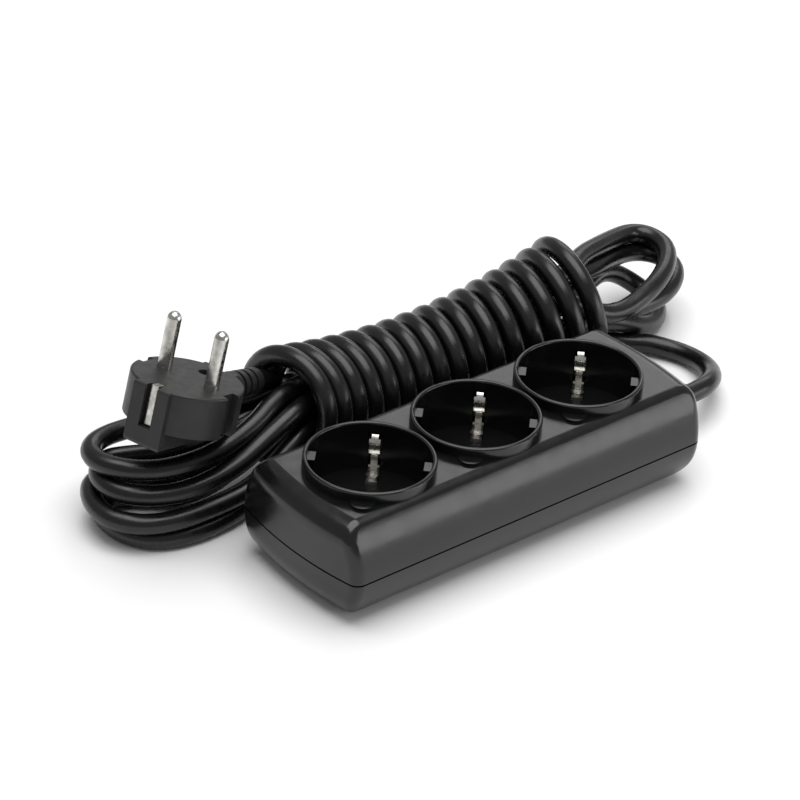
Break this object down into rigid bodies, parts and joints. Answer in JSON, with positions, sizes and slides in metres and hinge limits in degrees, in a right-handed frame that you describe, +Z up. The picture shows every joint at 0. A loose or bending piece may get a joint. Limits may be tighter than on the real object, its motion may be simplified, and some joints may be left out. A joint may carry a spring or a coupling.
{
  "type": "desk power strip",
  "caption": "Low mains power strip with earthed sockets in a row, a bend-relieved lead wound into a hank behind it, and its plug.",
  "frame": {"origin": "middle of the strip's underside, on the table, without the lead and plug", "axes": "+X along the strip towards the end where the lead comes out, +Y away from the user towards the wound lead, +Z up out of the sockets"},
  "size_m": [0.261, 0.1158, 0.0721],
  "materials": {
    "black_plastic": "glossy black",
    "cord_pvc": "satin black PVC",
    "plug_pvc": "matte black PVC",
    "nickel": "bright nickel plate",
    "brass": "satin",
    "zinc_steel": "zinc plated",
    "clamp_plastic": "natural nylon",
    "brown_pvc": "satin",
    "blue_pvc": "satin",
    "earth_pvc": "satin"
  },
  "bodies": {
    "root": {"top_cover": "black_plastic", "bottom_cover": "black_plastic", "live_busbar": "brass", "neutral_busbar": "brass", "earth_busbar": "brass", "earth_rivets": "nickel", "housing_screws": "zinc_steel", "cord_clamp": "clamp_plastic", "clamp_screws": "zinc_steel", "cord_bend_relief": "cord_pvc", "cord_jacket": "cord_pvc", "live_wire": "brown_pvc", "neutral_wire": "blue_pvc", "earth_wire": "earth_pvc", "cord_lead": "cord_pvc", "cord_hank": "cord_pvc", "cord_tail": "cord_pvc", "plug_body": "plug_pvc", "plug_pin_live": "nickel", "plug_pin_neutral": "nickel", "plug_earth_strip_front": "nickel", "plug_earth_strip_rear": "nickel", "earth_clip_left_rear": "nickel", "earth_clip_left_front": "nickel", "earth_clip_middle_rear": "nickel", "earth_clip_middle_front": "nickel", "earth_clip_right_rear": "nickel", "earth_clip_right_front": "nickel"}
  },
  "joints": []
}
